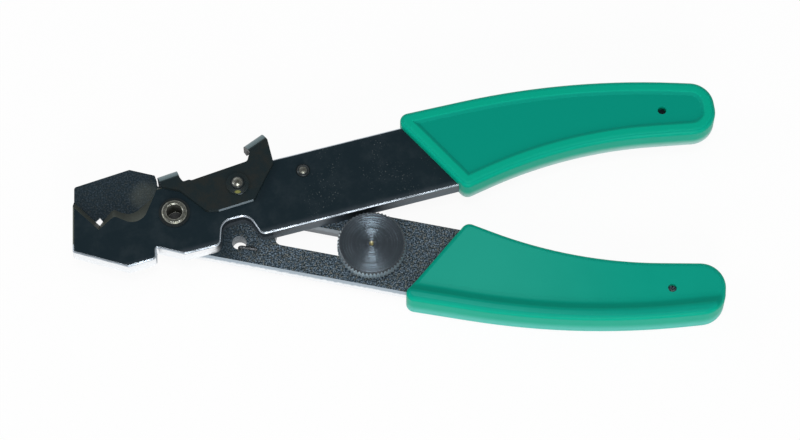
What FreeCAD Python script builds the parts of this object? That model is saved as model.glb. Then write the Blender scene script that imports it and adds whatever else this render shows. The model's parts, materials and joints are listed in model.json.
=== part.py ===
import FreeCAD
import Part
import math
import os
from FreeCAD import Vector

# Wire stripping pliers: two equal stamped levers, the rear one being the front one turned
# half a turn about the centre line, with moulded grips, a thumb latch, an opening spring
# and a knurled stop wheel that is clamped in a slot of the rear lever.
# +X runs along the centre line to the handles, +Z is towards the front lever, and the
# origin is on the pivot axis, on the plane that the pliers rest on. Millimetres, degrees.

# Levers, in their own frame with the shank along X
plate = 3.5
plate_gap = 0.05
lever_lean = 13.35
shank_outer = 6.35
shank_inner = -9.4
die_roll = 0.4
pivot_hole = 4.4
rivet_hole = 3.0
rivet_hole_at = (14.05, 2.4)
anchor_at = (27.9, 2.2)
tang_width = 6.0
tang_inset = 1.6
tang_ramp = 4.0
tang_corner = 2.0
tang_cover = 4.0
tang_wall = 2.0
tang_ahead = 2.7

# Jaws, along the centre line with the pliers closed
nose_x = -21.05
chin = (-20.95, -7.95)
jaw_corner = (-9.5, -11.6)
heel = (-3.8, -10.0)
step = (-3.8, -7.5)
neck_x = -0.1
chin_radius = 0.6
heel_radius = 0.9
neck_radius = 0.8
corner_radius = 0.35
notch_reach = 15.6
notch_half = 0.95
notch_bevel = 1.6
hump = (-12.9, 2.6)
dip = (-9.1, 0.95)
hump_ground = (-12.4, -0.3)
dip_ground = (-7.0, -2.8)
hump_radius = 0.8
dip_radius = 3.2
edge_end = -2.5
bevel_end = -2.1
edge_land = 0.3

# Arch in the inner edge that clears what is held in the other lever's hole
arch_half = 2.75
arch_rise = 5.0
arch_foot = 1.6
arch_ahead = 0.3

# Slot for the stop wheel
slot_start = 21.0
slot_width = 5.5
slot_corner = 1.6

# Grips
grip_wall = 2.15
grip_outer_start = 48.8
grip_inner_start = 59.1
grip_outer_cover = 2.25
grip_inner_cover = 1.8
grip_outer_bend = (86.0, 7.5)
grip_inner_bend = (82.4, -6.8)
grip_tail_outer = (114.7, -1.65)
grip_tail_inner = (113.3, -12.75)
grip_bend_share = 0.75
grip_tail_share = 0.88
grip_front_radius = 1.8
grip_edge = 1.1
panel_rim = 2.1
panel_depth = 0.5
panel_slope = 0.9
ridge_drop = 1.0
ridge_flat = 2.0
ridge_cove = 5.0
ridge_crest = 1.5
mould_pin = 1.8
mould_pin_at = (103.2, -4.9)
grip_room = 0.02

# Pivot rivet and its washer
turn_room = 0.05
rivet_head = 10.6
rivet_head_thick = 0.5
rivet_shoulder = 6.2
clinch_outer = 5.4
clinch_bore = 3.2
clinch_rise = 0.5
clinch_depth = 4.0
pivot_washer_outer = 6.4
pivot_washer_thick = 0.3

# Opening spring and the stud that it pulls on
wire = 0.7
coil_room = 0.25
spring_room = 0.05
stud = 2.4
stud_flange = 3.6
stud_flange_thick = 0.3
stud_head = 2.9
stud_head_rise = 0.35
hook_bend = 0.8
hook_tip = 3.7
hook_lean = -12.0
hook_room = 0.1
hook_wrap = 200.0

# Latch
latch_sheet = 1.0
latch_room = 0.05
latch_bend = 2.3
tab_start = (-1.3, 6.66)
tab_end = (2.9, 7.05)
thumb_start = (18.25, 8.88)
thumb_end = (22.5, 10.6)
tab_reach = 7.4
thumb_reach = 4.6
latch_shoulder = 0.6
latch_waist = (2.2, 4.3)
latch_low_front = (6.4, -1.6)
latch_low_middle = (9.0, -2.15)
latch_low_rear = (16.6, -1.7)
latch_side_low = (20.2, 2.7)
latch_side_high = (22.4, 5.2)
latch_saddle_rear = (17.25, 6.95)
latch_saddle_front = (5.2, 5.8)
latch_relief = (3.3, 6.0)
seat_room = 0.22
seat_lean = 5.0
seat_rise = 6.0
seat_run = 3.0
latch_neck = 2.0
latch_head = 2.8
latch_head_rise = 0.45
latch_back_head = 4.0
latch_back_thick = 1.2
dish_outer = 4.8
dish_thick = 0.3
dish_rise = 0.25

# Stop wheel, its washer and the nut that slides in the slot
stop_gap = 0.6
wheel_outer = 14.2
wheel_thick = 2.6
wheel_chamfer = 0.1
wheel_bevel = 0.3
wheel_washer_outer = 9.5
wheel_washer_thick = 0.75
wheel_stud = 4.0
wheel_upset = 5.2
wheel_upset_thick = 0.3
wheel_travel = 3.5
knurl_teeth = 56
knurl_depth = 0.4
centre_mark = 1.2
nut_length = 10.0
nut_width = 9.0
nut_thick = 1.6
nut_guide = 5.0
slide_room = 0.05
travel_room = 0.3

# Levels, counted from the middle of the gap between the levers
lever_back = plate_gap / 2
lever_front = lever_back + plate
rest_level = -(lever_front + grip_wall)
latch_back = lever_front + latch_room
latch_front = latch_back + latch_sheet
far = 60.0

# Places that follow from other sizes
grip_front_outer = (grip_outer_start, shank_outer + grip_outer_cover)
grip_front_inner = (grip_inner_start, shank_inner - grip_inner_cover)
tang_start = grip_inner_start + tang_ahead
tang_end = min(grip_tail_outer[0], grip_tail_inner[0]) - tang_cover
slot_middle = (shank_inner + shank_outer) / 2
crossing = math.radians(2 * lever_lean)
stop_reach = wheel_outer / 2 + stop_gap - shank_inner
wheel_at = (stop_reach - math.cos(crossing) * slot_middle) / math.sin(crossing)


def turned(point, degrees):
    """A point turned about the pivot."""
    c = math.cos(math.radians(degrees))
    s = math.sin(math.radians(degrees))
    return (c * point[0] - s * point[1], s * point[0] + c * point[1])


def half_angle(before, corner, after):
    """Half the angle between an outline's two sides at a corner, in radians."""
    back = Vector(before[0] - corner[0], before[1] - corner[1], 0)
    ahead = Vector(after[0] - corner[0], after[1] - corner[1], 0)
    return back.getAngle(ahead) / 2


def bend_radius(before, corner, after):
    """The radius that spreads a grip's bend over its share of the shorter side."""
    shorter = min(math.dist(before, corner), math.dist(corner, after))
    return grip_bend_share * shorter * math.tan(half_angle(before, corner, after))


def outline(corners):
    """A closed wire through corners (x, y, radius), with an arc at each rounded corner."""
    runs = []
    for i, corner in enumerate(corners):
        before = corners[i - 1]
        after = corners[(i + 1) % len(corners)]
        here = Vector(*corner[:2])
        if len(corner) < 3:
            runs.append((here, None, here))
            continue
        back = (Vector(*before[:2]) - here).normalize()
        ahead = (Vector(*after[:2]) - here).normalize()
        half = half_angle(before, corner, after)
        length = corner[2] / math.tan(half)
        middle = (back + ahead).normalize() * corner[2] * (1 / math.sin(half) - 1)
        runs.append((here + back * length, here + middle, here + ahead * length))
    edges = []
    for i, (start, middle, end) in enumerate(runs):
        if middle is not None:
            edges.append(Part.Arc(start, middle, end).toShape())
        following = runs[(i + 1) % len(runs)][0]
        if end.distanceToPoint(following) > 1e-6:
            edges.append(Part.LineSegment(end, following).toShape())
    return Part.Wire(edges)


def prism(plan, low, high):
    """A solid with that outline between two levels."""
    face = Part.Face(plan)
    face.translate(Vector(0, 0, low))
    return face.extrude(Vector(0, 0, high - low))


def disc(diameter, low, high, at=(0.0, 0.0)):
    """A round solid with its axis along Z."""
    return Part.makeCylinder(diameter / 2, high - low, Vector(at[0], at[1], low))


def spun(corners, at=(0.0, 0.0)):
    """A solid of revolution about Z from corners (radius, level, corner radius)."""
    face = Part.Face(outline(corners))
    face.rotate(Vector(0, 0, 0), Vector(1, 0, 0), 90)
    solid = face.revolve(Vector(0, 0, 0), Vector(0, 0, 1), 360)
    solid.translate(Vector(at[0], at[1], 0))
    return solid


def spin(shape, degrees):
    """A copy turned about the pivot axis."""
    copy = shape.copy()
    copy.rotate(Vector(0, 0, 0), Vector(0, 0, 1), degrees)
    return copy


def on_front(shape):
    """Places a shape drawn in a lever's own frame on the front lever."""
    return spin(shape, lever_lean)


def on_rear(shape):
    """Places the same shape on the rear lever, half a turn about the centre line."""
    copy = on_front(shape)
    copy.rotate(Vector(0, 0, 0), Vector(1, 0, 0), 180)
    return copy


def lever_point(point):
    """A point of the centre line's frame, seen in the front lever's own frame."""
    return turned(point, -lever_lean)


def front_point(point):
    """A point of the front lever's own frame, seen in the centre line's frame."""
    return turned(point, lever_lean)


def rear_point(point):
    """The same point of the rear lever, seen in the centre line's frame."""
    x, y = front_point(point)
    return (x, -y)


def polar(radius, degrees, level=0.0):
    """A point at that radius and angle round the Z axis."""
    x, y = turned((radius, 0.0), degrees)
    return Vector(x, y, level)


# Levers
def shank_corners(room):
    """The far end of the stamping from the inner edge round the tang, grown by that room."""
    tail = (grip_tail_outer[1] + grip_tail_inner[1]) / 2
    ramp = (tang_start + tang_ramp, shank_inner + 2 * tang_inset - room)
    bend = (grip_inner_bend[0], grip_inner_bend[1] + tang_wall - room)
    tip = (tang_end + room, tail - tang_width / 2 - room)
    return [
        (tang_start, shank_inner - room, tang_corner / 2),
        ramp + (tang_corner,),
        bend + (bend_radius(ramp, bend, tip),),
        tip + (tang_corner / 2,),
        (tang_end + room, tail + tang_width / 2 + room, tang_corner),
        (tang_start, shank_outer - tang_inset + room, tang_corner),
        (tang_start - tang_ramp, shank_outer + room, tang_corner / 2),
    ]


def cutting_line(drop, hump_corner, dip_corner, end):
    """The space above one level of the cutting profile, from past the nose to the outer edge."""
    vertex = (-notch_reach, -notch_half - drop)
    past_nose = (vertex[0] - far, vertex[1] + far)
    run_out = front_point((end, shank_outer))
    hump_arc = hump_corner + (hump_radius,)
    dip_arc = dip_corner + (dip_radius,)
    return outline([past_nose, vertex, hump_arc, dip_arc, run_out, (far, far), (-far, 2 * far)])


def jaw_opening():
    """What grinding takes off the jaw: straight at the cutting edge, then widening to the front."""
    sharp = cutting_line(0.0, hump, dip, edge_end)
    ground = cutting_line(notch_bevel * math.sqrt(2.0), hump_ground, dip_ground, bevel_end)
    land = lever_back + edge_land
    straight = prism(sharp, lever_back - 1.0, land)
    sharp.translate(Vector(0, 0, land))
    ground.translate(Vector(0, 0, lever_front))
    return straight.fuse(Part.makeLoft([sharp, ground], True, True))


def blank():
    """One lever stamping in its own frame, before its own slot or second hole."""
    arch_x = lever_point(rear_point(rivet_hole_at))[0] + arch_ahead
    arch_top = shank_inner + arch_rise
    corners = [
        lever_point((nose_x, far)),
        lever_point(chin) + (chin_radius,),
        lever_point(jaw_corner) + (corner_radius,),
        lever_point(heel) + (heel_radius,),
        lever_point(step) + (corner_radius,),
        (neck_x, shank_inner, neck_radius),
        (arch_x - arch_half - arch_foot, shank_inner, arch_foot),
        (arch_x - arch_half, arch_top, 0.9 * arch_half),
        (arch_x + arch_half, arch_top, 0.9 * arch_half),
        (arch_x + arch_half + arch_foot, shank_inner, arch_foot),
    ]
    corners += shank_corners(0.0)
    corners += [(edge_end, shank_outer), (edge_end, far)]
    body = prism(outline(corners), lever_back, lever_front)
    body = body.cut(spin(jaw_opening(), -lever_lean))
    body = body.cut(disc(pivot_hole, -far, far))
    return body.cut(disc(rivet_hole, -far, far, rivet_hole_at))


def die_rolled(body):
    """The blank with its front edges rounded as the die leaves them, up to the grip."""
    under_jaw = (lever_point(chin)[0] + lever_point(jaw_corner)[0]) / 2
    rolled = []
    for edge in body.Edges:
        box = edge.BoundBox
        level = abs(box.ZMin - lever_front) + abs(box.ZMax - lever_front) < 1e-4
        inner = box.YMax < shank_inner + arch_rise + die_roll
        outer = box.YMin > shank_outer - die_roll / 4
        if level and (inner or outer) and box.XMin > under_jaw and box.XMax < tang_start + die_roll:
            rolled.append(edge)
    return body.makeFillet(die_roll, rolled)


stamping = die_rolled(blank())
slot_end = wheel_at + wheel_travel + nut_guide / 2 + travel_room
slot_low = slot_middle - slot_width / 2
slot_high = slot_middle + slot_width / 2
slot = outline([
    (slot_start, slot_low, slot_corner),
    (slot_end, slot_low, slot_corner),
    (slot_end, slot_high, slot_corner),
    (slot_start, slot_high, slot_corner),
])

# Seat in the rear lever for the latch's front tab, leaning back so that the tab can lift out
tab_inside = latch_bend - latch_sheet
seat_floor = tab_start[1] + tab_inside - seat_room
seat_left = tab_start[0] - seat_room
seat_right = tab_end[0] + seat_run
seat = outline([
    (seat_left, seat_floor),
    (seat_right, tab_end[1] + tab_inside - seat_room),
    (seat_right, seat_floor + seat_rise),
    (seat_left - seat_rise * math.tan(math.radians(seat_lean)), seat_floor + seat_rise),
])

front_lever = on_front(stamping.cut(disc(stud, -far, far, anchor_at)))
rear_lever = on_rear(stamping.cut(prism(slot, -far, far)))
rear_lever = rear_lever.cut(on_front(prism(seat, -far, 0.0)))

# Latch: a flat rocker with two tabs that are bent back over the front lever's outer edge
latch_plan = [
    tab_start,
    (tab_start[0], tab_start[1] - latch_shoulder, 0.8 * latch_shoulder),
    latch_waist + (2.0,),
    latch_low_front + (1.2,),
    latch_low_middle + (1.0,),
    latch_low_rear + (0.8,),
    latch_side_low + (2.0,),
    latch_side_high + (1.0,),
    thumb_end,
    thumb_start,
    latch_saddle_rear + (0.8,),
    latch_saddle_front + (1.0,),
    latch_relief + (0.6,),
    tab_end,
]


def bent_tab(start, end, reach):
    """A tab bent back along the line from start to end, reaching that far behind the latch's face."""
    along = Vector(end[0] - start[0], end[1] - start[1], 0)
    low = latch_front - reach
    section = outline([
        (0.0, latch_back),
        (0.0, latch_front),
        (latch_bend, latch_front, latch_bend),
        (latch_bend, low),
        (tab_inside, low),
        (tab_inside, latch_back, tab_inside),
    ])
    face = Part.Face(section)
    face.rotate(Vector(0, 0, 0), Vector(1, 1, 1), 120)
    tab = face.extrude(Vector(along.Length, 0, 0))
    tab.rotate(Vector(0, 0, 0), Vector(0, 0, 1), math.degrees(math.atan2(along.y, along.x)))
    tab.translate(Vector(start[0], start[1], 0))
    return tab


latch = prism(outline(latch_plan), latch_back, latch_front)
latch = latch.fuse(bent_tab(tab_start, tab_end, tab_reach))
latch = latch.fuse(bent_tab(thumb_start, thumb_end, thumb_reach))
latch = latch.cut(disc(latch_neck + 2 * turn_room, -far, far, rivet_hole_at))
latch = on_front(latch.removeSplitter())

# Latch rivet and the dished washer that gives the latch its friction
dish_low = latch_front + turn_room
dish_top = dish_low + dish_rise + dish_thick
latch_rivet = on_front(spun([
    (0.0, lever_back - latch_back_thick),
    (latch_back_head / 2, lever_back - latch_back_thick, 0.4),
    (latch_back_head / 2, lever_back),
    (rivet_hole / 2 - turn_room, lever_back),
    (rivet_hole / 2 - turn_room, lever_front),
    (latch_neck / 2, lever_front),
    (latch_neck / 2, dish_top),
    (latch_head / 2, dish_top),
    (latch_head / 2, dish_top + latch_head_rise, 0.3),
    (0.0, dish_top + latch_head_rise),
], rivet_hole_at))
latch_washer = on_front(spun([
    (latch_neck / 2 + turn_room, dish_low + dish_rise),
    (dish_outer / 2, dish_low),
    (dish_outer / 2, dish_low + dish_thick),
    (latch_neck / 2 + turn_room, dish_top),
], rivet_hole_at))

# Pivot rivet: wide rear head, shoulder inside the coil, and a hollow front end rolled over
shoulder_top = -lever_front - turn_room
clinch_low = lever_front + pivot_washer_thick
clinch_top = clinch_low + clinch_rise
shank = pivot_hole / 2 - turn_room
pivot_rivet = spun([
    (0.0, rest_level),
    (rivet_head / 2, rest_level),
    (rivet_head / 2, rest_level + rivet_head_thick),
    (rivet_shoulder / 2, rest_level + rivet_head_thick),
    (rivet_shoulder / 2, shoulder_top),
    (shank, shoulder_top),
    (shank, clinch_low),
    (clinch_outer / 2, clinch_low),
    (clinch_outer / 2, clinch_top, 0.9 * clinch_rise),
    (clinch_bore / 2, clinch_top, 0.6 * clinch_rise),
    (clinch_bore / 2, clinch_top - clinch_depth),
    (0.0, clinch_top - clinch_depth - clinch_rise),
])
pivot_washer = disc(pivot_washer_outer, lever_front, clinch_low)
pivot_washer = pivot_washer.cut(disc(pivot_hole, -far, far))

# Spring stud: riveted through the front lever, with a flange that keeps the spring's eye on it
coil_low = rest_level + rivet_head_thick + spring_room + wire / 2
coil_high = -lever_front - spring_room - wire / 2
stud_low = coil_low - wire / 2 - spring_room
spring_stud = on_front(spun([
    (0.0, stud_low - stud_flange_thick),
    (stud_flange / 2, stud_low - stud_flange_thick),
    (stud_flange / 2, stud_low),
    (stud / 2, stud_low),
    (stud / 2, lever_front),
    (stud_head / 2, lever_front),
    (stud_head / 2, lever_front + stud_head_rise, 0.25),
    (0.0, lever_front + stud_head_rise),
], anchor_at))

# Opening spring: an eye on the stud, a coil round the rivet's shoulder, and a leg through the rear
# lever's hole whose end lies on that lever's front face
coil = rivet_shoulder / 2 + coil_room + wire / 2
eye = stud / 2 + spring_room + wire / 2
stud_place = Vector(*front_point(anchor_at))
hook_drop = rivet_hole / 2 - wire / 2 - hook_room
hole_place = Vector(*rear_point(rivet_hole_at)) - Vector(0, hook_drop, 0)


def quarter_bend(corner, arriving, leaving):
    """A soft quarter turn of the wire at a square corner of its path."""
    soft = hook_bend * (1 - 1 / math.sqrt(2.0))
    start = corner - arriving * hook_bend
    end = corner + leaving * hook_bend
    return start, corner - arriving * soft + leaving * soft, end


def spring_path():
    """The middle line of the spring's wire, as edges that run smoothly into each other."""
    reach = math.hypot(stud_place.x, stud_place.y)
    leave = math.degrees(math.atan2(stud_place.y, stud_place.x) + math.acos((coil - eye) / reach))
    span = math.hypot(hole_place.x, hole_place.y)
    arrive = math.degrees(math.atan2(hole_place.y, hole_place.x) - math.acos(coil / span)) + 720
    wrap = [stud_place + polar(eye, leave - hook_wrap * share, coil_low) for share in (1.0, 0.5, 0.0)]
    turns = []
    for i in range(41):
        share = i / 40
        rise = share * share * (3 - 2 * share) * (coil_high - coil_low)
        turns.append(polar(coil, leave + (arrive - leave) * share, coil_low + rise))
    helix = Part.BSplineCurve()
    helix.interpolate(turns)
    up = Vector(0, 0, 1)
    ahead = polar(1.0, hook_lean)
    heading = (hole_place - polar(coil, arrive)).normalize()
    bend = quarter_bend(hole_place + up * coil_high, heading, up)
    tip_level = spring_room + wire / 2 - lever_back
    fold = quarter_bend(hole_place + up * tip_level, up, ahead)
    return [
        Part.Arc(*wrap).toShape(),
        Part.LineSegment(wrap[2], turns[0]).toShape(),
        helix.toShape(),
        Part.LineSegment(turns[-1], bend[0]).toShape(),
        Part.Arc(*bend).toShape(),
        Part.LineSegment(bend[2], fold[0]).toShape(),
        Part.Arc(*fold).toShape(),
        Part.LineSegment(fold[2], fold[2] + ahead * (hook_tip - hook_bend)).toShape(),
    ]


path = Part.Wire(spring_path())
wire_start = path.Edges[0].valueAt(path.Edges[0].FirstParameter)
wire_way = path.Edges[0].tangentAt(path.Edges[0].FirstParameter)
wire_section = Part.Wire(Part.makeCircle(wire / 2, wire_start, wire_way))
opening_spring = path.makePipeShell([wire_section], True, False)

# Stop wheel with its stud, turning in a nut that slides along the slot
washer_low = slide_room - lever_back
wheel_low = washer_low + wheel_washer_thick + turn_room
wheel_top = wheel_low + wheel_thick
nut_top = -lever_front - slide_room
nut_low = nut_top - nut_thick
upset_top = nut_low - turn_room
wheel_place = Vector(*rear_point((wheel_at, slot_middle)))


def at_wheel(shape):
    """Places a shape drawn about the wheel's axis with the slot along X."""
    copy = spin(shape, -lever_lean)
    copy.translate(wheel_place)
    return copy


def block(length, width, radius, low, high):
    """A block about the Z axis with rounded upright edges."""
    sides = [(-1, -1), (1, -1), (1, 1), (-1, 1)]
    return prism(outline([(x * length / 2, y * width / 2, radius) for x, y in sides]), low, high)


rim = wheel_outer / 2
knurl = [polar(rim - knurl_depth * (i % 2), 180.0 * i / knurl_teeth) for i in range(2 * knurl_teeth)]
knurl_plan = Part.makePolygon(knurl + knurl[:1])
wheel_turning = spun([
    (0.0, wheel_low),
    (rim - wheel_chamfer - knurl_depth, wheel_low),
    (rim, wheel_low + wheel_bevel),
    (rim, wheel_top - wheel_bevel),
    (rim - wheel_chamfer - knurl_depth, wheel_top),
    (centre_mark / 2, wheel_top),
    (0.0, wheel_top - centre_mark / 2),
])
stop_wheel = wheel_turning.common(prism(knurl_plan, wheel_low, wheel_top))
stop_wheel = stop_wheel.fuse(disc(wheel_stud, upset_top, wheel_low))
stop_wheel = stop_wheel.fuse(disc(wheel_upset, upset_top - wheel_upset_thick, upset_top))
stop_wheel = at_wheel(stop_wheel)

stud_bore = disc(wheel_stud + 2 * turn_room, -far, far)
wheel_washer = disc(wheel_washer_outer, washer_low, washer_low + wheel_washer_thick)
wheel_washer = at_wheel(wheel_washer.cut(stud_bore))
guide = block(nut_guide, slot_width - 2 * slide_room, slot_corner, nut_top, -lever_back)
slot_nut = block(nut_length, nut_width, 1.0, nut_low, nut_top).fuse(guide)
slot_nut = at_wheel(slot_nut.cut(stud_bore))

# Grips: one moulding, with a rimmed panel on its front face and a ridge on its back face
def tail_radius():
    """The radius that rounds both corners of the tail over their share of its end."""
    inner = math.tan(half_angle(grip_inner_bend, grip_tail_inner, grip_tail_outer))
    outer = math.tan(half_angle(grip_tail_inner, grip_tail_outer, grip_outer_bend))
    end = math.dist(grip_tail_inner, grip_tail_outer)
    return grip_tail_share * end / (1 / inner + 1 / outer)


grip_outer_radius = bend_radius(grip_front_outer, grip_outer_bend, grip_tail_outer)
grip_inner_radius = bend_radius(grip_front_inner, grip_inner_bend, grip_tail_inner)
grip_plan = outline([
    grip_front_outer + (grip_front_radius,),
    grip_front_inner + (grip_front_radius,),
    grip_inner_bend + (grip_inner_radius,),
    grip_tail_inner + (tail_radius(),),
    grip_tail_outer + (tail_radius(),),
    grip_outer_bend + (grip_outer_radius,),
])
grip_low = lever_back - grip_wall
grip_high = lever_front + grip_wall


def panel_cut():
    """The shallow panel inside the rim of the front face, with a sloped step round it."""
    face = Part.Face(grip_plan)
    rim_line = face.makeOffset2D(-panel_rim).Wires[0]
    floor_line = face.makeOffset2D(-panel_rim - panel_slope).Wires[0]
    rim_line.translate(Vector(0, 0, grip_high))
    floor_line.translate(Vector(0, 0, grip_high - panel_depth))
    return Part.makeLoft([floor_line, rim_line], True, True)


def ridge_cut():
    """What the back face lacks beside its ridge: a cove along the outer edge, then a flat floor."""
    run = math.sqrt(ridge_cove ** 2 - (ridge_cove - ridge_drop) ** 2)
    inset = ridge_flat + run - ridge_cove
    start = Vector(*grip_front_outer)
    bend = Vector(*grip_outer_bend)
    end = Vector(*grip_tail_outer)
    first = (bend - start).normalize()
    second = (end - bend).normalize()
    inward = Vector(first.y + second.y, -first.x - second.x, 0).normalize()
    corner = bend + inward * (inset / inward.dot(Vector(first.y, -first.x, 0)))
    before = corner - first * 2 * far
    after = corner + second * 2 * far
    plan = outline([
        (before.x, before.y),
        (before.x, -4 * far),
        (after.x, -4 * far),
        (after.x, after.y),
        (corner.x, corner.y, grip_outer_radius - inset),
    ])
    floor = grip_low + ridge_drop
    cutter = prism(plan, floor - far, floor)
    rims = [edge for edge in cutter.Edges if edge.BoundBox.ZMin > floor - 1e-4]
    coved = [edge for edge in rims if edge.BoundBox.YMin > after.y - 1e-3]
    return cutter.makeFillet(ridge_cove, coved)


def on_wall(edge):
    """Whether an edge runs round the grip's wall, where a face meets it."""
    middle = edge.valueAt((edge.FirstParameter + edge.LastParameter) / 2)
    sideways = edge.BoundBox.XLength + edge.BoundBox.YLength > 1e-4
    return sideways and grip_plan.distToShape(Part.Vertex(middle.x, middle.y, 0))[0] < 1e-4


def grip():
    """The moulding in the front lever's frame."""
    body = prism(grip_plan, grip_low, grip_high).cut(ridge_cut())
    back = [edge for edge in body.Edges if edge.BoundBox.ZMax < grip_low + 1e-4]
    body = body.makeFillet(ridge_crest, [edge for edge in back if not on_wall(edge)])
    body = body.makeFillet(grip_edge, [edge for edge in body.Edges if on_wall(edge)])
    body = body.cut(panel_cut())
    mouth_x = grip_outer_start - far
    mouth = [(mouth_x, shank_outer + grip_room), (mouth_x, shank_inner - grip_room)]
    pocket = outline(mouth + shank_corners(grip_room))
    body = body.cut(prism(pocket, lever_back - grip_room, lever_front + grip_room))
    return body.cut(disc(mould_pin, -far, far, mould_pin_at))


moulding = grip()

nodes = {
    "front_lever": front_lever,
    "rear_lever": rear_lever,
    "front_grip": on_front(moulding),
    "rear_grip": on_rear(moulding),
    "pivot_rivet": pivot_rivet,
    "pivot_washer": pivot_washer,
    "opening_spring": opening_spring,
    "spring_stud": spring_stud,
    "latch": latch,
    "latch_rivet": latch_rivet,
    "latch_washer": latch_washer,
    "stop_wheel": stop_wheel,
    "wheel_washer": wheel_washer,
    "slot_nut": slot_nut,
}
os.makedirs("parts", exist_ok=True)
for name, shape in nodes.items():
    placed = shape.copy()
    placed.translate(Vector(0, 0, -rest_level))
    placed.exportStep("parts/" + name + ".step")
    print(name, placed.isValid(), len(placed.Solids), round(placed.Volume, 2))
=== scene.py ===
# %% [markdown]
# # Wire stripping pliers
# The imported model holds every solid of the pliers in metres: two stamped levers, two grips, a
# latch, a spring, rivets and a stop wheel. This lesson leaves those shapes where they are. It frames
# and lights them as in the photograph, and gives each of them its finish.

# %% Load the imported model
import bpy
import json
import math
from mathutils import Matrix, Vector
from types import SimpleNamespace


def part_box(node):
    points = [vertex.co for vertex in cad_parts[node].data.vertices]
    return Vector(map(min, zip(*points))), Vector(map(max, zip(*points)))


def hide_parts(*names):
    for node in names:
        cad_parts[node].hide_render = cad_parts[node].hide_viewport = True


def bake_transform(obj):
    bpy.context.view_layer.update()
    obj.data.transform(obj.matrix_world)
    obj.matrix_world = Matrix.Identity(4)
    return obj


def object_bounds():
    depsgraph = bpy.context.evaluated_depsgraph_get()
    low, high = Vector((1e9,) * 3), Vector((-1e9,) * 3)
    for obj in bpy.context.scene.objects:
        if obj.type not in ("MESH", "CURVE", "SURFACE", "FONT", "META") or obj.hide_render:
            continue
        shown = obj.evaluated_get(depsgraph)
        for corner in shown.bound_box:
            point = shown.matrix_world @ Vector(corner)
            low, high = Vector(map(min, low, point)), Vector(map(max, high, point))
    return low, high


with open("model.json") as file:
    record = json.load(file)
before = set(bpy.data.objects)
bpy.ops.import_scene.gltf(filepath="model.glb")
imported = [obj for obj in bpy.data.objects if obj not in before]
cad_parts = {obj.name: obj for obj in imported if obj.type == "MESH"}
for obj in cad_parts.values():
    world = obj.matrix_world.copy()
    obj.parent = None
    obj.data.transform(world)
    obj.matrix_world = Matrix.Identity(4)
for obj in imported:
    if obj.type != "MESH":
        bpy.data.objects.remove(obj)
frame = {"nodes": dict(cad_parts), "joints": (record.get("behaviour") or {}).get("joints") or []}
cad_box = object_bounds()
nodes = frame["nodes"]
joints = {joint["name"]: joint for joint in frame["joints"]}
MM = 0.001
print("nodes:", sorted(nodes))

# %% [markdown]
# ## Camera
# The photograph looks down on the flat pliers from 23 degrees off the upright, on the side of
# the rear handle, with the tool turned a little in the frame. A camera could be placed by
# eye and turned until it fits. Here it is worked out instead: it looks at one point between the
# two levers, from a set distance, through a lens that shows a set width there.

# %% Camera
view_tilt = math.radians(23.0)
view_turn = math.radians(1.95)
view_distance = 720 * MM
view_width = 165.3 * MM
view_middle = Vector((46.39, -0.06, 5.675)) * MM
near_clip = 0.01
sensor_width = 36.0

turn = Matrix.Rotation(-view_turn, 3, "Z")
right = turn @ Vector((1, 0, 0))
up = turn @ Vector((0, math.cos(view_tilt), math.sin(view_tilt)))
back = turn @ Vector((0, -math.sin(view_tilt), math.cos(view_tilt)))
target = turn @ view_middle

camera_data = bpy.data.cameras.new("photo_camera")
camera_data.sensor_width = sensor_width
camera_data.lens = sensor_width * view_distance / view_width
camera_data.clip_start = near_clip
camera = bpy.data.objects.new("photo_camera", camera_data)
stance = Matrix((right, up, back)).transposed().to_4x4()
camera.matrix_world = Matrix.Translation(target + back * view_distance) @ stance
bpy.context.scene.collection.objects.link(camera)
bpy.context.scene.camera = camera
bpy.context.scene.view_settings.view_transform = "Standard"
print("camera at", [round(value, 3) for value in camera.location], "lens", round(camera_data.lens, 1))

# %% [markdown]
# ## Shader sums
# Finishes are masks and mixtures, which read best as sums. Nodes could be placed and joined one by
# one, but then the sum is lost among the links. This class wraps one socket, so that
# `1 - mask` or `mask * noise` adds the Math nodes by itself. Its `node` method adds any other
# node: settings first, then what goes into its sockets.

# %% A socket that takes part in sums
class Shade:
    """One output socket of a node tree, used like a number."""

    def __init__(self, tree, socket=None):
        self.tree = tree
        self.socket = socket

    def feed(self, socket, value):
        """Links a shade to a socket, or sets the socket to a plain value."""
        if isinstance(value, Shade):
            self.tree.links.new(value.socket, socket)
        else:
            socket.default_value = value

    def node(self, kind, settings, inputs, output=0):
        """Adds a node of that kind to the same tree and returns one of its outputs."""
        made = self.tree.nodes.new(kind)
        for name, value in settings.items():
            setattr(made, name, value)
        for key, value in inputs.items():
            self.feed(made.inputs[key], value)
        return Shade(self.tree, made.outputs[output])

    def math(self, operation, *terms):
        """Adds a Math node."""
        return self.node("ShaderNodeMath", {"operation": operation}, dict(enumerate(terms)))

    def __add__(self, other):
        return self.math("ADD", self, other)

    def __radd__(self, other):
        return self.math("ADD", other, self)

    def __sub__(self, other):
        return self.math("SUBTRACT", self, other)

    def __rsub__(self, other):
        return self.math("SUBTRACT", other, self)

    def __mul__(self, other):
        return self.math("MULTIPLY", self, other)

    def __rmul__(self, other):
        return self.math("MULTIPLY", other, self)

    def __abs__(self):
        return self.math("ABSOLUTE", self)


def smooth(value, low, high):
    """0 below low and 1 above high, with a soft step between them."""
    settings = {"interpolation_type": "SMOOTHSTEP"}
    return value.node("ShaderNodeMapRange", settings, {"Value": value, "From Min": low, "From Max": high})


def mix(mask, first, second):
    """The first colour where the mask is 0, and the second where it is 1."""
    return mask.node("ShaderNodeMix", {"data_type": "RGBA"}, {0: mask, 6: first, 7: second}, 2)


def axes(vector):
    """The three components of a vector."""
    split = vector.node("ShaderNodeSeparateXYZ", {}, {0: vector})
    return [Shade(split.tree, socket) for socket in split.socket.node.outputs]


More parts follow.
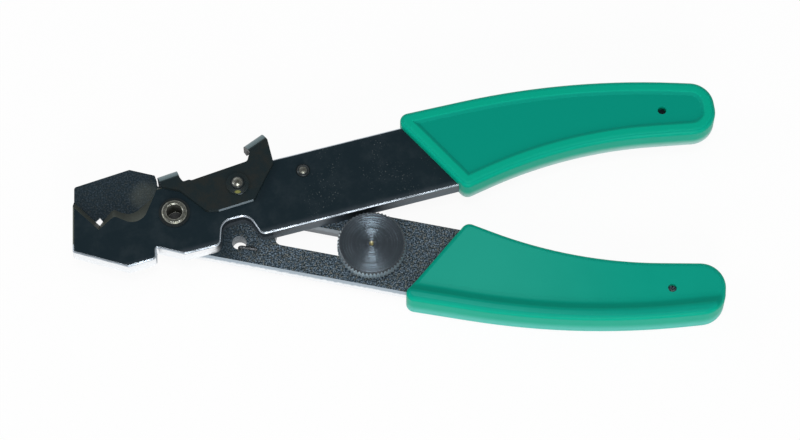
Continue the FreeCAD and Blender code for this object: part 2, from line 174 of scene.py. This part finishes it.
def vector_math(operation, first, **inputs):
    """Adds a Vector Math node; the first input is a vector and the others go by name."""
    return first.node("ShaderNodeVectorMath", {"operation": operation}, {0: first, **inputs})


print("sums ready")

# %% [markdown]
# ## Floor and surroundings
# The photograph has a plain white ground. More light would make the floor white, but it would also
# bleach the grips. So the floor glows white only for the camera and for reflections, by way of
# the Light Path node, and the part that still takes light keeps a faint shadow. The surroundings
# are white near the horizon and dimmer overhead, as in a studio with a white sweep, so flat black
# steel stays dark while its rounded edges catch a bright line.

# %% Floor and surroundings
WHITE = (1.0, 1.0, 1.0, 1.0)
PAPER = (0.9, 0.9, 0.9, 1.0)
floor_half = 2.0
floor_drop = 0.02 * MM
floor_glow = 0.94
ambient_level = 0.36
ceiling_level = 0.14
# How far a direction points up, from 0 for level to 1 for straight up.
horizon_top = 0.2
ceiling_start = 0.8


def seen_directly(root):
    """1 for rays from the camera, and for what is seen in gloss or through glass."""
    total = 0.0
    for ray in ("Is Camera Ray", "Is Glossy Ray", "Is Transmission Ray"):
        total = root.node("ShaderNodeLightPath", {}, {}, ray) + total
    return root.math("MINIMUM", total, 1.0)


def make_floor():
    """A wide pale sheet just under the pliers."""
    corners = [(-1, -1), (1, -1), (1, 1), (-1, 1)]
    points = [(floor_half * x, floor_half * y, -floor_drop) for x, y in corners]
    mesh = bpy.data.meshes.new("floor")
    mesh.from_pydata(points, [], [(0, 1, 2, 3)])
    floor = bpy.data.objects.new("floor", mesh)
    bpy.context.scene.collection.objects.link(floor)
    material = bpy.data.materials.new("floor_paper")
    material.use_nodes = True
    tree = material.node_tree
    tree.nodes.remove(tree.nodes["Principled BSDF"])
    root = Shade(tree)
    paper = root.node("ShaderNodeBsdfDiffuse", {}, {"Color": PAPER})
    glow = root.node("ShaderNodeEmission", {}, {"Color": WHITE, "Strength": 1.0})
    share = seen_directly(root) * floor_glow
    mixed = root.node("ShaderNodeMixShader", {}, {0: share, 1: paper, 2: glow})
    root.feed(tree.nodes["Material Output"].inputs["Surface"], mixed)
    mesh.materials.append(material)


def make_surroundings():
    """A white horizon under a dimmer ceiling; diffuse light comes evenly from all sides."""
    world = bpy.data.worlds.new("studio")
    bpy.context.scene.world = world
    world.use_nodes = True
    root = Shade(world.node_tree)
    direction = root.node("ShaderNodeTexCoord", {}, {}, "Generated")
    overhead = smooth(axes(direction)[2], horizon_top, ceiling_start)
    backdrop = 1.0 - overhead * (1.0 - ceiling_level)
    level = ambient_level + seen_directly(root) * (backdrop - ambient_level)
    root.feed(world.node_tree.nodes["Background"].inputs["Color"], WHITE)
    root.feed(world.node_tree.nodes["Background"].inputs["Strength"], level)


make_floor()
make_surroundings()
print("floor and surroundings made")

# %% [markdown]
# ## Lamps
# The main lamp hangs over the pliers, a little to the near side, so the flat faces throw it away
# from the lens and stay dark, while the turned wheel and the rivet heads catch it. A low lamp on the
# near side brings up the lower edges and walls, and a weak one on the left rounds off the jaws. Lamps
# could be set in watts by trial. Here each lamp's level is how bright it alone makes a white sheet
# that faces it, so it is easy to see that the levels and the surroundings add up to a plain light.

# %% Lamps
def add_lamp(name, place, size, level):
    """A square lamp that faces the middle of the pliers."""
    middle = (cad_box[0] + cad_box[1]) / 2
    offset = Vector(place) - middle
    data = bpy.data.lights.new(name, "AREA")
    data.size = size
    data.energy = level * math.pi ** 2 * offset.length ** 2
    lamp = bpy.data.objects.new(name, data)
    lamp.matrix_world = Matrix.Translation(place) @ offset.to_track_quat("Z", "Y").to_matrix().to_4x4()
    bpy.context.scene.collection.objects.link(lamp)
    print(name, "at", [round(value, 2) for value in place], "level", level)


add_lamp("main_lamp", (0.04, -0.13, 0.95), 0.26, 0.32)
add_lamp("near_lamp", (0.10, -0.80, 0.34), 0.40, 0.48)
add_lamp("left_lamp", (-0.70, 0.10, 0.55), 0.35, 0.14)

# %% [markdown]
# ## Starting a finish
# Every finish is one Principled shader. What is the same all over a piece is set on the
# shader's own socket, and what changes over it is a sum. All sums use millimetres in the
# tool's own frame, because a solid's place is in its mesh, so a mask can be written with the
# same sizes as the drawing of the part.

# %% Helpers for finishes
sharp_angle = math.radians(28)


def new_finish(name, constants):
    """The start of a material's sums, its shader and the material."""
    material = bpy.data.materials.new(name)
    material.use_nodes = True
    shader = material.node_tree.nodes["Principled BSDF"]
    for socket, value in constants.items():
        shader.inputs[socket].default_value = value
    return Shade(material.node_tree), shader, material


def feed_shader(root, shader, sums):
    """Links each sum to the shader's socket of that name."""
    for socket, value in sums.items():
        root.feed(shader.inputs[socket], value)


def place_of(root):
    """The place on the tool in millimetres."""
    return vector_math("SCALE", root.node("ShaderNodeTexCoord", {}, {}, "Object"), Scale=1 / MM)


def surface_direction(root):
    """The direction that a surface faces, in the tool's own frame, so that it holds in every pose."""
    normal = root.node("ShaderNodeNewGeometry", {}, {}, "True Normal")
    spaces = {"vector_type": "NORMAL", "convert_from": "WORLD", "convert_to": "OBJECT"}
    return axes(root.node("ShaderNodeVectorTransform", spaces, {0: normal}))


def noise(place, scale, detail=3.0, roughness=0.55):
    """Soft noise from 0 to 1; scale is in lumps per millimetre."""
    inputs = {"Vector": place, "Scale": scale, "Detail": detail, "Roughness": roughness}
    return place.node("ShaderNodeTexNoise", {}, inputs)


def bumped(height, depth):
    """A normal that follows a height from 0 to 1, with that depth in millimetres."""
    return height.node("ShaderNodeBump", {}, {"Strength": 1.0, "Distance": depth * MM, "Height": height})


def from_axis(place, axis):
    """How far a place is from an upright axis, along x and along y."""
    x, y, _ = axes(place)
    return x - axis[0], y - axis[1]


def spot(place, middle, size, core):
    """1 in the core of an oval spot and 0 outside it; the core is a share of the size, squared."""
    dx, dy = from_axis(place, middle)
    dx = dx * (1 / size[0])
    dy = dy * (1 / size[1])
    return 1 - smooth(dx * dx + dy * dy, core, 1.0)


def dress(material, *names):
    """Gives CAD nodes a finish, with smooth shading up to clear edges."""
    for name in names:
        mesh = nodes[name].data
        mesh.materials.clear()
        mesh.materials.append(material)
        mesh.shade_smooth()
        mesh.set_sharp_from_angle(angle=sharp_angle)
        print(name, "is finished in", material.name)


print("finishes can start; edges over", round(math.degrees(sharp_angle)), "degrees stay sharp")

# %% [markdown]
# ## Lever surfaces
# Both levers are the same punched plate. The punch leaves one face smooth with rounded edges and the
# other one rough with a burr, and the rear lever is turned over, so it shows its rough face. Painting
# masks by hand would work on one shape only. Here the direction of the surface tells faces, walls
# and slopes apart: slopes at the jaws are ground bevels, and the other slopes are rolled edges.

# %% Lever surfaces
FLAT = (0.965, 0.985)
WALL = (0.05, 0.2)
jaw_end_x = -1.7
bevel_side_y = -6.5
jaw_blend = 0.4


def lever_surfaces(root, place, side):
    """Masks of a lever's faces, walls, bevels and edges; side is -1 on the lever that is turned over."""
    x, y, _ = axes(place)
    _, ny, nz = surface_direction(root)
    facing = nz * side
    flat = smooth(abs(facing), *FLAT)
    wall = 1 - smooth(abs(facing), *WALL)
    slope = (1 - flat) * (1 - wall)
    before_pivot = 1 - smooth(x, jaw_end_x - jaw_blend / 2, jaw_end_x + jaw_blend / 2)
    at_jaw = before_pivot * smooth(y * side, bevel_side_y, bevel_side_y + jaw_blend)
    return SimpleNamespace(
        flat=flat,
        wall=wall,
        ground=slope * at_jaw,
        rolled=slope * (1 - at_jaw),
        burr_face=flat * (1 - smooth(facing, -0.5, 0.5)),
        # near_side picks the walls that face the near side, which the wall colour paints as lit.
        near_side=1 - smooth(ny, -0.6, -0.3),
    )


print("lever slopes are ground bevels where x is under", jaw_end_x, "mm")

# %% [markdown]
# ## Lever faces
# The plate is blackened and oiled. Its smooth face has cloudy wear and a little dust towards the
# grip, and a painted sheen, as if light caught the rounded edge, along the front lever's inner edge
# and under the rear lever's shank. Its rough face is torn steel, dark with pale grains; round the
# pivot there are fewer of them, a painted shade where the front lever covers the rear one. Pictures
# of steel could be laid over the plates, but noise at several scales stays sharp from close by and
# needs no file.

# %% Lever faces
BLACKENED = (0.0085, 0.0185, 0.0250, 1.0)
BLACKENED_WORN = (0.0185, 0.0295, 0.0365, 1.0)
PAINTED_EDGE_SHEEN = (0.055, 0.068, 0.080, 1.0)
DUST = (0.16, 0.18, 0.18, 1.0)
ROUGH_DARK = (0.011, 0.022, 0.030, 1.0)
ROUGH_LIGHT = (0.195, 0.265, 0.335, 1.0)
ROUGH_WARM = (0.21, 0.22, 0.20, 1.0)
lever_lean = math.radians(13.35)
inner_edge = -9.4
edge_sheen_width = 1.6
dusty_x = 24.0
dusty_length = 8.0
pivot_end_x = 8.0
painted_shade_end_x = 19.0


def smooth_face(place, cloud):
    """Blackened steel with cloudy wear, a painted sheen along one edge and specks of dust."""
    x, y, _ = axes(place)
    face = mix(smooth(cloud, 0.42, 0.72) * 0.8, BLACKENED, BLACKENED_WORN)
    from_edge = y * math.cos(lever_lean) - x * math.sin(lever_lean) - inner_edge
    # Painted highlight: a pale sheen along the inner edge, as if light caught the rounded edge.
    edge_sheen = (1 - smooth(from_edge, 0.0, edge_sheen_width)) * (0.3 + cloud)
    face = mix(edge_sheen, face, PAINTED_EDGE_SHEEN)
    specks = smooth(noise(place, 4.2, 1.0), 0.69, 0.75) * smooth(noise(place, 0.16, 2.0), 0.45, 0.6)
    dusty = specks * smooth(x, dusty_x, dusty_x + dusty_length)
    return mix(dusty * 0.9, face, DUST)


def rough_face(place, grain):
    """Torn steel with pale grains, fewer near the pivot as a painted shade and more on the shank."""
    # Painted shade: fewer pale grains near the pivot, where the front lever shades the rear one.
    clear_of_painted_shade = smooth(axes(place)[0], pivot_end_x, painted_shade_end_x)
    patches = noise(place, 0.6, 2.0)
    grains = smooth(grain, 0.40, 0.74) * (0.19 + clear_of_painted_shade * (0.45 + patches))
    tint = mix(smooth(noise(place, 1.9), 0.46, 0.6), ROUGH_LIGHT, ROUGH_WARM)
    return mix(grains.math("MINIMUM", grains, 1.0), ROUGH_DARK, tint)


print("the rough face is full of grains where x is over", painted_shade_end_x, "mm")

# %% [markdown]
# ## Lever walls
# A punch shears the first half of a wall and tears the second half, with a ragged line between them.
# On the near side the walls are painted bright, as if lit by the white floor, and painted shade
# darkens them where the other lever shades them: past the pivot on the front lever, and on the
# inner side of the rear one. Two materials on the wall would need a cut in the mesh along that line,
# and a mask from the height in the plate, made ragged by noise, needs none.

# %% Lever walls
# Painted light: walls on the near side are painted almost white, as if lit by the white floor.
PAINTED_LIT_WALL = (0.92, 0.94, 0.96, 1.0)
PLAIN_WALL = (0.22, 0.25, 0.28, 1.0)
ragged_height = 1.6
wall_shade_fade = 1.5
# Painted shade: past a line at an angle and a distance, each lever's walls get darker shaded colours.
LEVERS = {
    "front_lever": SimpleNamespace(
        side=1.0,
        shade_angle=0.0,
        shade_from=pivot_end_x,
        torn=PAINTED_LIT_WALL,
        shaded_sheared=(0.075, 0.092, 0.108, 1.0),
        shaded_torn=(0.125, 0.15, 0.172, 1.0),
    ),
    "rear_lever": SimpleNamespace(
        side=-1.0,
        shade_angle=math.radians(90) - lever_lean,
        shade_from=-5.2,
        torn=(0.40, 0.47, 0.53, 1.0),
        shaded_sheared=(0.14, 0.155, 0.17, 1.0),
        shaded_torn=(0.30, 0.34, 0.37, 1.0),
    ),
}


def torn_part(name, place, side):
    """1 on the half of a wall where the punch tore the plate."""
    middle = sum(corner.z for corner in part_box(name)) / 2 / MM
    height = (axes(place)[2] - middle) * side
    return 1 - smooth(height + (noise(place, 1.1) - 0.5) * ragged_height, -0.5, 0.5)


def wall_colour(lever, place, near_side, torn):
    """The sheared and torn wall, painted bright on the near side, with painted shade on one side of a
    line at an angle and a distance.
    """
    x, y, _ = axes(place)
    across = x * math.cos(lever.shade_angle) + y * math.sin(lever.shade_angle)
    wall_shade = smooth(across, lever.shade_from, lever.shade_from + wall_shade_fade)
    bright = mix(near_side, PLAIN_WALL, mix(torn, PAINTED_LIT_WALL, lever.torn))
    return mix(wall_shade, bright, mix(torn, lever.shaded_sheared, lever.shaded_torn))


print("walls of", len(LEVERS), "levers described")

# %% [markdown]
# ## Lever finish
# Now the masks choose between the faces, the walls, the ground bevels and the rolled edges, which
# are worn bright. A second material for each of them could be given to its faces, but the worn
# places run over into each other, which one shader with soft masks shows and a mesh edge doesn't.

# %% Lever finish
GROUND = (0.130, 0.145, 0.125, 1.0)
GROUND_DARK = (0.065, 0.075, 0.065, 1.0)
BARE = (0.46, 0.52, 0.58, 1.0)
blush_middle = (-6.2, 5.6)
blush_size = (4.0, 4.0)


def lever_finish(name, lever):
    """The blackened plate, with its smooth or its rough face up."""
    root, shader, material = new_finish(name, {"Specular IOR Level": 0.1})
    place = place_of(root)
    on = lever_surfaces(root, place, lever.side)
    cloud = noise(place, 0.2, 6.0, 0.68)
    grain = noise(place, 3.2, 2.0, 0.7)
    torn = torn_part(name, place, lever.side)
    worn_edge = on.rolled * (0.5 + smooth(noise(place, 0.2, 2.0), 0.3, 0.6) * 0.5)

    face = mix(on.burr_face, smooth_face(place, cloud), rough_face(place, grain))
    blush = spot(place, blush_middle, blush_size, 0.1) * on.burr_face * cloud * 0.55
    face = mix(blush, face, GROUND)
    colour = mix(on.wall, face, wall_colour(lever, place, on.near_side, torn))
    colour = mix(on.ground, colour, mix(grain, GROUND, GROUND_DARK))
    colour = mix(worn_edge, colour, BARE)
    metal = on.wall * 0.9 + on.ground * 0.6 + worn_edge
    roughness = 0.38 + on.burr_face * 0.15 + on.wall * torn * 0.2
    roughness = roughness - on.rolled * 0.12 + (grain - 0.5) * on.flat * 0.15
    relief = grain * (on.burr_face * 0.9 + on.flat * 0.08)
    feed_shader(root, shader, {
        "Base Color": colour,
        "Metallic": root.math("MINIMUM", metal, 1.0),
        "Roughness": roughness,
        "Normal": bumped(relief, 0.05),
    })
    return material


for name, lever in LEVERS.items():
    dress(lever_finish(name, lever), name)

# %% [markdown]
# ## Latch
# The latch is a bent sheet with a brown-black oxide, rubbed bright where it is bent, with a painted
# highlight along its cut edge on the near side and a yellow spot beside its rivet. The bright places
# could be painted on by hand. The same question as on the levers, which way the surface faces, finds
# the bends and the edge without that.

# %% Latch finish
OXIDE = (0.0115, 0.0205, 0.0235, 1.0)
OXIDE_BROWN = (0.0190, 0.0230, 0.0220, 1.0)
RUBBED = (0.22, 0.30, 0.32, 1.0)
PAINTED_EDGE_HIGHLIGHT = (0.22, 0.275, 0.31, 1.0)
SPOT_YELLOW = (0.23, 0.235, 0.055, 1.0)
SHEET_FLAT = (0.96, 0.985)
yellow_spot_size = (0.75, 0.4)
yellow_spot_drop = 1.9
latch_x, latch_y = [value / MM for value in joints["latch_swing"]["pos_m"][:2]]


def latch_finish():
    """Oxidised sheet with rubbed bends and a painted highlight on its near cut edge."""
    root, shader, material = new_finish("latch_sheet", {"Specular IOR Level": 0.12})
    place = place_of(root)
    nx, ny, nz = surface_direction(root)
    flat = smooth(abs(nz), *SHEET_FLAT)
    wall = 1 - smooth(abs(nz), *WALL)
    cloud = noise(place, 0.35, 4.0)
    grain = noise(place, 5.0, 2.0)
    rubbed = (1 - flat) * (1 - wall) * 0.7
    near_side = (1 - smooth(ny, -0.96, -0.88)) * smooth(nx, 0.0, 0.15)
    yellow_spot = spot(place, (latch_x, latch_y - yellow_spot_drop), yellow_spot_size, 0.3) * 0.8

    colour = mix(smooth(cloud + (grain - 0.5) * 0.5, 0.35, 0.7), OXIDE, OXIDE_BROWN)
    colour = mix(rubbed, colour, RUBBED)
    # Painted highlight: the cut edge that faces down and to the right is painted bright, as if lit.
    colour = mix(wall * near_side, colour, PAINTED_EDGE_HIGHLIGHT)
    # A yellow spot is mixed in just below the rivet.
    colour = mix(yellow_spot, colour, SPOT_YELLOW)
    feed_shader(root, shader, {
        "Base Color": colour,
        "Metallic": rubbed,
        "Roughness": 0.36 + (grain - 0.5) * 0.2,
        "Normal": bumped(grain, 0.008),
    })
    return material


dress(latch_finish(), "latch", "latch_washer")

# %% [markdown]
# ## Rivets
# The rivets are plain steel under worn blacking. A rivet head has painted shade in its hollow and
# blacking at its foot, and its crown is bright bare steel that also stands as a painted highlight, so
# a mask from the distance to the rivet's own axis and from the height above the plate does more here
# than noise alone.

# %% Rivet finishes
STEEL = (0.36, 0.37, 0.335, 1.0)
STEEL_TARNISH = (0.20, 0.205, 0.17, 1.0)
BLACKED = (0.022, 0.029, 0.032, 1.0)
PAINTED_HOLLOW_SHADE = (0.012, 0.014, 0.016, 1.0)
dome_width = 1.45
crown_highlight_fade = 0.15


def rivet_finish(name, axis, crown, hollow, core, dome):
    """Steel round an upright axis, with a painted highlight inside the core's radius and painted shade in
    the hollow.
    """
    root, shader, material = new_finish(name + "_steel", {"Specular IOR Level": 0.5})
    place = place_of(root)
    dx, dy = from_axis(place, axis)
    squared = dx * dx + dy * dy
    radius = root.math("SQRT", squared)
    height = axes(place)[2]
    cloud = noise(place, 1.4, 3.0)
    inside = 1 - smooth(radius, hollow - 0.1, hollow + 0.05)
    # Painted shade: the inside of the hollow is painted dark.
    shaded = inside * (1 - smooth(height, crown - 0.5, crown - 0.1))
    # Painted highlight: steel stays bright inside the core's radius, with blacking outside it.
    blacked = smooth(radius + (cloud - 0.5) * 0.4, core - crown_highlight_fade, core + crown_highlight_fade)
    swell = 1 - squared * (1 / dome_width ** 2)

    colour = mix(smooth(cloud, 0.35, 0.65), STEEL, STEEL_TARNISH)
    colour = mix(blacked, colour, BLACKED)
    colour = mix(shaded, colour, PAINTED_HOLLOW_SHADE)
    feed_shader(root, shader, {
        "Base Color": colour,
        "Metallic": (1 - shaded) * (1 - blacked * 0.5),
        "Roughness": 0.22 + cloud * 0.14 + shaded * 0.3,
        "Normal": bumped(swell * dome + cloud * 0.03, 1.0),
    })
    return material


def rivet_axis(name):
    """The middle of a round node, along x and y, and its top, in millimetres."""
    low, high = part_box(name)
    return ((low.x + high.x) / 2 / MM, (low.y + high.y) / 2 / MM), high.z / MM


for name, hollow, core, dome in (
    ("pivot_rivet", 1.6, 9.0, 0.0),
    ("pivot_washer", 0.0, 0.0, 0.0),
    ("spring_stud", 0.0, 0.75, 0.5),
    ("latch_rivet", 0.0, 1.0, 0.5),
):
    axis, crown = rivet_axis(name)
    dress(rivet_finish(name, axis, crown, hollow, core, dome), name)

# %% [markdown]
# ## Stop wheel
# The wheel is turned on a lathe, so its face is a field of fine rings, and a ring field throws a
# lamp back as a bow tie across the centre. The shader's own anisotropy would need a tangent
# that changes over the face, which an exported model loses. Rings do the same: the normal is
# tipped in and out by a noise that depends only on the distance to the axis.

# %% Wheel finishes
TURNED = (0.155, 0.195, 0.23, 1.0)
TURNED_DARK = (0.12, 0.15, 0.178, 1.0)
BEVELLED = (0.085, 0.098, 0.108, 1.0)
KNURLED = (0.52, 0.62, 0.67, 1.0)
PAINTED_GLINT = (0.65, 0.60, 0.34, 1.0)
wheel_axis = [value / MM for value in joints["wheel_turn"]["pos_m"][:2]]
dimple = 0.55
dimple_fade = 0.25


def ring_noise(radius, scale, detail):
    """Noise that changes only with the distance to the axis; scale is in rings per millimetre."""
    inputs = {"W": radius, "Scale": scale, "Detail": detail}
    return radius.node("ShaderNodeTexNoise", {"noise_dimensions": "1D"}, inputs)


def tipped(normal, dx, dy, slope):
    """A normal tipped away from the wheel's axis by a slope."""
    outward = normal.node("ShaderNodeCombineXYZ", {}, {0: dx, 1: dy, 2: 0.0})
    outward = vector_math("SCALE", vector_math("NORMALIZE", outward), Scale=slope)
    spaces = {"vector_type": "VECTOR", "convert_from": "OBJECT", "convert_to": "WORLD"}
    outward = normal.node("ShaderNodeVectorTransform", spaces, {0: outward})
    total = normal.node("ShaderNodeVectorMath", {"operation": "ADD"}, {0: normal, 1: outward})
    return vector_math("NORMALIZE", total)


def wheel_finish(name, ring_slope):
    """Turned and blackened steel with rings about the wheel's axis."""
    root, shader, material = new_finish(name, {"Specular IOR Level": 0.5})
    place = place_of(root)
    dx, dy = from_axis(place, wheel_axis)
    radius = root.math("SQRT", dx * dx + dy * dy)
    upright = surface_direction(root)[2]
    on_top = smooth(upright, 0.9, 0.98)
    bevel = smooth(upright, 0.2, 0.4)
    rings = ring_noise(radius, 17.0, 1.0)
    tint = ring_noise(radius, 1.1, 2.0)
    in_dimple = 1 - smooth(radius, dimple - dimple_fade, dimple)
    # Painted highlight: a yellow glint painted in the centre-drill dimple.
    glint = in_dimple * smooth(noise(place, 1.6), 0.42, 0.55)

    face = mix(smooth(tint, 0.35, 0.7) * 0.5, TURNED, TURNED_DARK)
    colour = mix(on_top, mix(bevel, KNURLED, BEVELLED), face)
    colour = mix(glint, colour, PAINTED_GLINT)
    normal = root.node("ShaderNodeNewGeometry", {}, {}, "Normal")
    feed_shader(root, shader, {
        "Base Color": colour,
        "Metallic": 0.9 + on_top * 0.1,
        "Roughness": 0.36 - on_top * 0.1,
        "Normal": tipped(normal, dx, dy, (rings - 0.5) * on_top * ring_slope),
    })
    return material


dress(wheel_finish("wheel_turned", 1.5), "stop_wheel")
dress(wheel_finish("wheel_plain", 0.2), "wheel_washer", "slot_nut")

# %% [markdown]
# ## Opening spring
# The spring's eye stays on the front lever's stud while its other leg goes with the rear lever, so
# a solid that rides on one of them would tear itself off the other. The real coil winds up over a
# short height of the wire. Here a copy of the spring's mesh takes the place of the imported one, in
# its rest shape.

# %% Spring
WIRE = (0.13, 0.14, 0.15, 1.0)
WIRE_DARK = (0.03, 0.034, 0.037, 1.0)


def wire_finish():
    """Drawn wire with a thin dark scale."""
    root, shader, material = new_finish("drawn_wire", {"Specular IOR Level": 0.5})
    scale = noise(place_of(root), 2.5, 3.0)
    feed_shader(root, shader, {
        "Base Color": mix(smooth(scale, 0.4, 0.65), WIRE, WIRE_DARK),
        "Metallic": 1 - scale * 0.2,
        "Roughness": 0.25 + scale * 0.2,
        "Normal": bumped(scale, 0.01),
    })
    return material


dress(wire_finish(), "opening_spring")
spring = bpy.data.objects.new("wound_spring", nodes["opening_spring"].data.copy())
bpy.context.scene.collection.objects.link(spring)
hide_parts("opening_spring")
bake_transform(spring)
print("spring has", len(spring.data.vertices), "points")

# %% [markdown]
# ## Grip surfaces
# Each grip has a recessed panel with a rim on one side and a ridge with a cove on the other. Faces
# could be picked one by one for each place, but the two grips are one moulding turned over, so
# the height over the plane between the levers finds the same places on both.

# %% Grip surfaces
between_levers = 5.675
panel_floor = 5.175
face_level = 1.125
ridge_level = 2.125
foot_start = 1.8
foot_height = 4.6
sheen_full_x = 60.0
sheen_end_x = 100.0


def grip_surfaces(root, place, foot):
    """Masks of a grip's panel, rim, edges, cove, sheen and the foot of its near walls."""
    x, _, z = axes(place)
    lean = axes(root.node("ShaderNodeNewGeometry", {}, {}, "Normal"))[2]
    tilt = abs(lean)
    rise = abs(z - between_levers)
    rim = smooth(rise, panel_floor + 0.25, panel_floor + 0.5)
    recessed = smooth(rise, panel_floor - 0.2, panel_floor - 0.05) * (1 - rim)
    panel = recessed * smooth(tilt, 0.80, 0.86)
    above_face = smooth(rise, face_level + 0.02, face_level + 0.25)
    below_ridge = 1 - smooth(rise, ridge_level - 0.5, ridge_level - 0.1)
    wall = (1 - smooth(lean, 0.05, 0.3)) * smooth(lean, -0.75, -0.45)
    near_side = 1 - smooth(surface_direction(root)[1], -0.5, 0.0)
    near_lever = 1 - smooth(x, sheen_full_x, sheen_end_x)
    return SimpleNamespace(
        rim=rim,
        panel=panel,
        edge=(1 - smooth(tilt, 0.7, 0.99)) * (1 - panel),
        cove=above_face * below_ridge * smooth(tilt, 0.6, 0.8),
        sheen=near_lever * (1 - panel) * smooth(tilt, 0.97, 0.995),
        foot=wall * near_side * (1 - smooth(z, foot + foot_start, foot + foot_height)),
    )


print("grip panels lie", panel_floor, "mm from the plane between the levers")

# %% [markdown]
# ## Grips
# The grips are moulded in one green plastic with a soft satin skin. A plain colour would look like
# paint. The colour is deeper in the recessed panel, and painted shade darkens the cove. Painted
# highlights make the rim and the edges paler, a painted sheen lies near the levers, and the foot of
# the near walls is painted pale, as if lit by the white floor. A very fine grain covers all of them.

# %% Grip finish
GREEN = (0.0030, 0.335, 0.240, 1.0)
GREEN_DEEP = (0.0005, 0.290, 0.208, 1.0)
GREEN_HIGHLIGHT = (0.0010, 0.385, 0.252, 1.0)
GREEN_SHADE = (0.0005, 0.225, 0.155, 1.0)
GREEN_SHEEN = (0.030, 0.375, 0.285, 1.0)
PAINTED_LIT_FOOT = {"front_grip": (0.40, 0.60, 0.57, 1.0), "rear_grip": (0.09, 0.50, 0.42, 1.0)}


def grip_finish(name):
    """Moulded green plastic."""
    root, shader, material = new_finish(name + "_plastic", {"Specular IOR Level": 0.05})
    place = place_of(root)
    on = grip_surfaces(root, place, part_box(name)[0].z / MM)
    flow = noise(place, 0.06, 3.0)
    grain = noise(place, 4.0, 2.0)

    colour = mix(smooth(flow, 0.3, 0.7) * 0.4 + on.panel, GREEN, GREEN_DEEP)
    # Painted sheen: the flat faces near the levers are painted paler.
    colour = mix(on.sheen * 0.5, colour, GREEN_SHEEN)
    # Painted highlight: the rim and the edges are painted paler.
    colour = mix(root.math("MAXIMUM", on.edge * 0.8, on.rim), colour, GREEN_HIGHLIGHT)
    # Painted shade: the cove is painted darker.
    colour = mix(on.cove * 0.65, colour, GREEN_SHADE)
    # Painted light: the foot of the near walls is painted pale, as if lit by the white floor.
    colour = mix(on.foot, colour, PAINTED_LIT_FOOT[name])
    feed_shader(root, shader, {
        "Base Color": colour,
        "Roughness": 0.42 + (grain - 0.5) * 0.16 - on.edge * 0.06,
        "Normal": bumped(grain, 0.006),
    })
    return material


for name in PAINTED_LIT_FOOT:
    dress(grip_finish(name), name)
